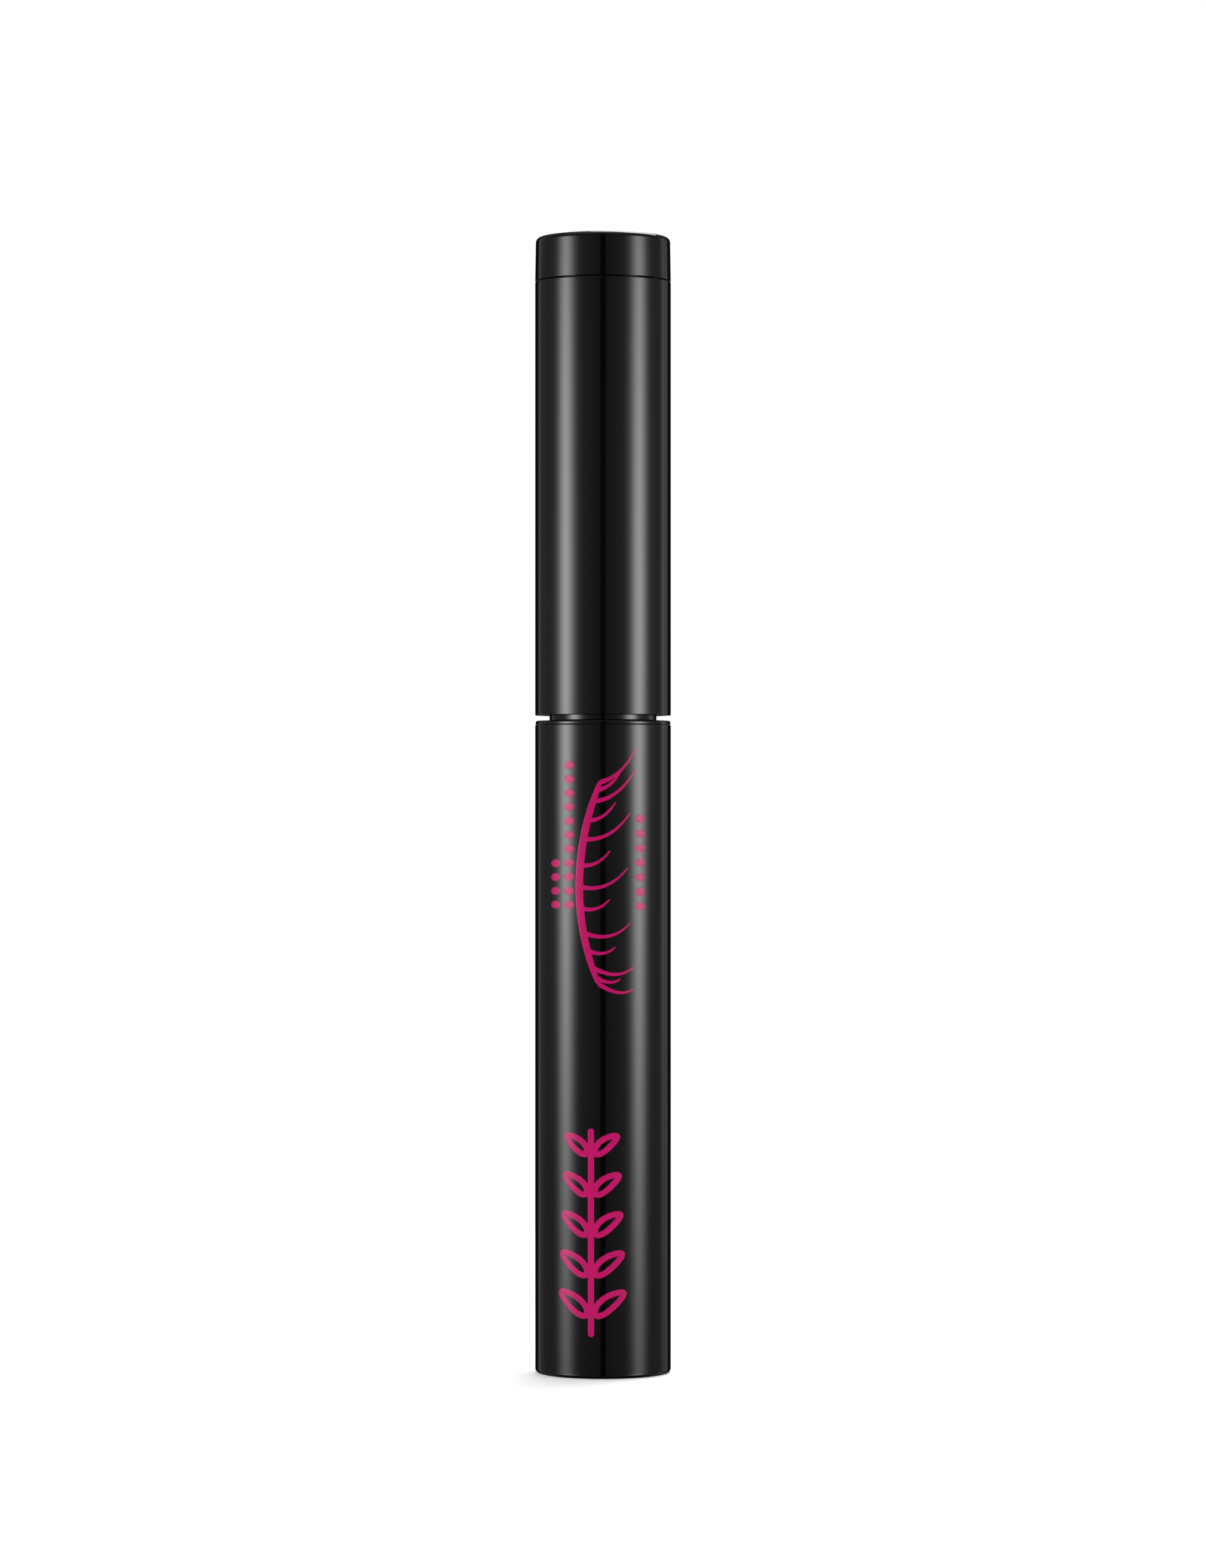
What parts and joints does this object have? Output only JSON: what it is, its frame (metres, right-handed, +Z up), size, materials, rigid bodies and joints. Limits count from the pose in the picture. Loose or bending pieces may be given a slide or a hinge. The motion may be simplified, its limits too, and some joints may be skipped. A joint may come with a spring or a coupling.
{
  "type": "mascara tube",
  "caption": "Closed motorised mascara: bottle with screw neck and wiper, and a cap with stem, turning brush, planetary gearbox, motor, cells and push button.",
  "frame": {"origin": "centre of the bottle's foot, on the surface it stands on", "axes": "+Z up along the tube's axis, from the bottle to the cap; +Y towards the push button; the printed face looks towards -Y"},
  "size_m": [0.0176, 0.0176, 0.147],
  "materials": {
    "gloss_black": "high gloss moulded black",
    "inner_black": "satin moulded black",
    "hot_pink": "glossy hot pink",
    "wiper_natural": "soft natural white",
    "seal_rubber": "matt black rubber",
    "brush_black": "black, coated with the product",
    "steel": "plated",
    "brass": "plain",
    "copper": "wound and coated copper, stands in as brass",
    "gear_white": "natural acetal",
    "frame_grey": "moulded grey",
    "magnet_grey": "sintered ferrite",
    "board_green": "green circuit board"
  },
  "bodies": {
    "bottle": {"bottle_shell": "gloss_black", "vial": "gloss_black", "wiper": "wiper_natural"},
    "gasket": {"gasket": "seal_rubber"},
    "cap": {"cap_sleeve": "gloss_black", "inner_cap": "inner_black", "stem": "hot_pink", "stem_bush": "brass", "shaft_seal": "seal_rubber", "gearbox_base": "frame_grey", "ring_gear": "gear_white", "gearbox_lid": "frame_grey", "motor_can": "steel", "motor_bush": "brass", "magnet_left": "magnet_grey", "magnet_right": "magnet_grey", "end_bell": "frame_grey", "terminal_front": "brass", "terminal_back": "brass", "motor_mount": "frame_grey", "battery_holder": "frame_grey", "cell_contact": "steel", "cell_lower": "steel", "cell_upper": "steel", "motor_strip": "steel", "return_strip": "steel", "switch_board": "board_green", "switch_base": "inner_black"},
    "button": {"button": "hot_pink", "switch_plunger": "wiper_natural"},
    "end_cap": {"end_cap": "gloss_black", "end_contact": "steel", "contact_spring": "steel"},
    "brush": {"brush_head": "brush_black", "brush_hub": "brush_black", "drive_shaft": "steel", "output_carrier": "gear_white"},
    "planet_output_1": {"planet_output_1": "gear_white"},
    "planet_output_2": {"planet_output_2": "gear_white"},
    "planet_output_3": {"planet_output_3": "gear_white"},
    "input_carrier": {"input_carrier": "gear_white"},
    "planet_input_1": {"planet_input_1": "gear_white"},
    "planet_input_2": {"planet_input_2": "gear_white"},
    "planet_input_3": {"planet_input_3": "gear_white"},
    "rotor": {"motor_shaft": "steel", "armature": "copper", "commutator": "copper", "sun_gear": "brass"}
  },
  "joints": [
    {"name": "applicator_lift", "type": "slide", "parent": "bottle", "child": "gasket", "axis": [0, 0, 1], "range_m": [0, 0.1], "deforming": ["wiper"]},
    {"name": "cap_unscrew", "type": "hinge", "parent": "gasket", "child": "cap", "pos_m": [0, 0, 0.1], "axis": [0, 0, 1], "range_deg": [0, 540]},
    {"name": "button_press", "type": "slide", "parent": "cap", "child": "button", "axis": [0, -1, 0], "range_m": [0, 0.00025], "stiffness_N_per_m": 1500},
    {"name": "end_cap_pull", "type": "slide", "parent": "cap", "child": "end_cap", "axis": [0, 0, 1], "range_m": [0, 0.015]},
    {"name": "motor_spin", "type": "hinge", "parent": "cap", "child": "rotor", "pos_m": [0, 0, 0.114], "axis": [0, 0, 1], "continuous": true},
    {"name": "brush_spin", "type": "hinge", "parent": "cap", "child": "brush", "pos_m": [0, 0, 0.06], "axis": [0, 0, 1], "continuous": true},
    {"name": "input_carrier_spin", "type": "hinge", "parent": "cap", "child": "input_carrier", "pos_m": [0, 0, 0.1068], "axis": [0, 0, 1], "continuous": true},
    {"name": "planet_output_1_spin", "type": "hinge", "parent": "brush", "child": "planet_output_1", "pos_m": [0.0036, 0, 0.10535], "axis": [0, 0, 1], "continuous": true},
    {"name": "planet_output_2_spin", "type": "hinge", "parent": "brush", "child": "planet_output_2", "pos_m": [-0.0018, 0.00312, 0.10535], "axis": [0, 0, 1], "continuous": true},
    {"name": "planet_output_3_spin", "type": "hinge", "parent": "brush", "child": "planet_output_3", "pos_m": [-0.0018, -0.00312, 0.10535], "axis": [0, 0, 1], "continuous": true},
    {"name": "planet_input_1_spin", "type": "hinge", "parent": "input_carrier", "child": "planet_input_1", "pos_m": [0.0036, 0, 0.10805], "axis": [0, 0, 1], "continuous": true},
    {"name": "planet_input_2_spin", "type": "hinge", "parent": "input_carrier", "child": "planet_input_2", "pos_m": [-0.0018, 0.00312, 0.10805], "axis": [0, 0, 1], "continuous": true},
    {"name": "planet_input_3_spin", "type": "hinge", "parent": "input_carrier", "child": "planet_input_3", "pos_m": [-0.0018, -0.00312, 0.10805], "axis": [0, 0, 1], "continuous": true}
  ],
  "couplings": [
    {"joint": "input_carrier_spin", "follows": "motor_spin", "ratio": 0.25},
    {"joint": "brush_spin", "follows": "motor_spin", "ratio": 0.0625},
    {"joint": "planet_output_1_spin", "follows": "motor_spin", "ratio": -0.1875},
    {"joint": "planet_output_2_spin", "follows": "motor_spin", "ratio": -0.1875},
    {"joint": "planet_output_3_spin", "follows": "motor_spin", "ratio": -0.1875},
    {"joint": "planet_input_1_spin", "follows": "motor_spin", "ratio": -0.75},
    {"joint": "planet_input_2_spin", "follows": "motor_spin", "ratio": -0.75},
    {"joint": "planet_input_3_spin", "follows": "motor_spin", "ratio": -0.75}
  ]
}
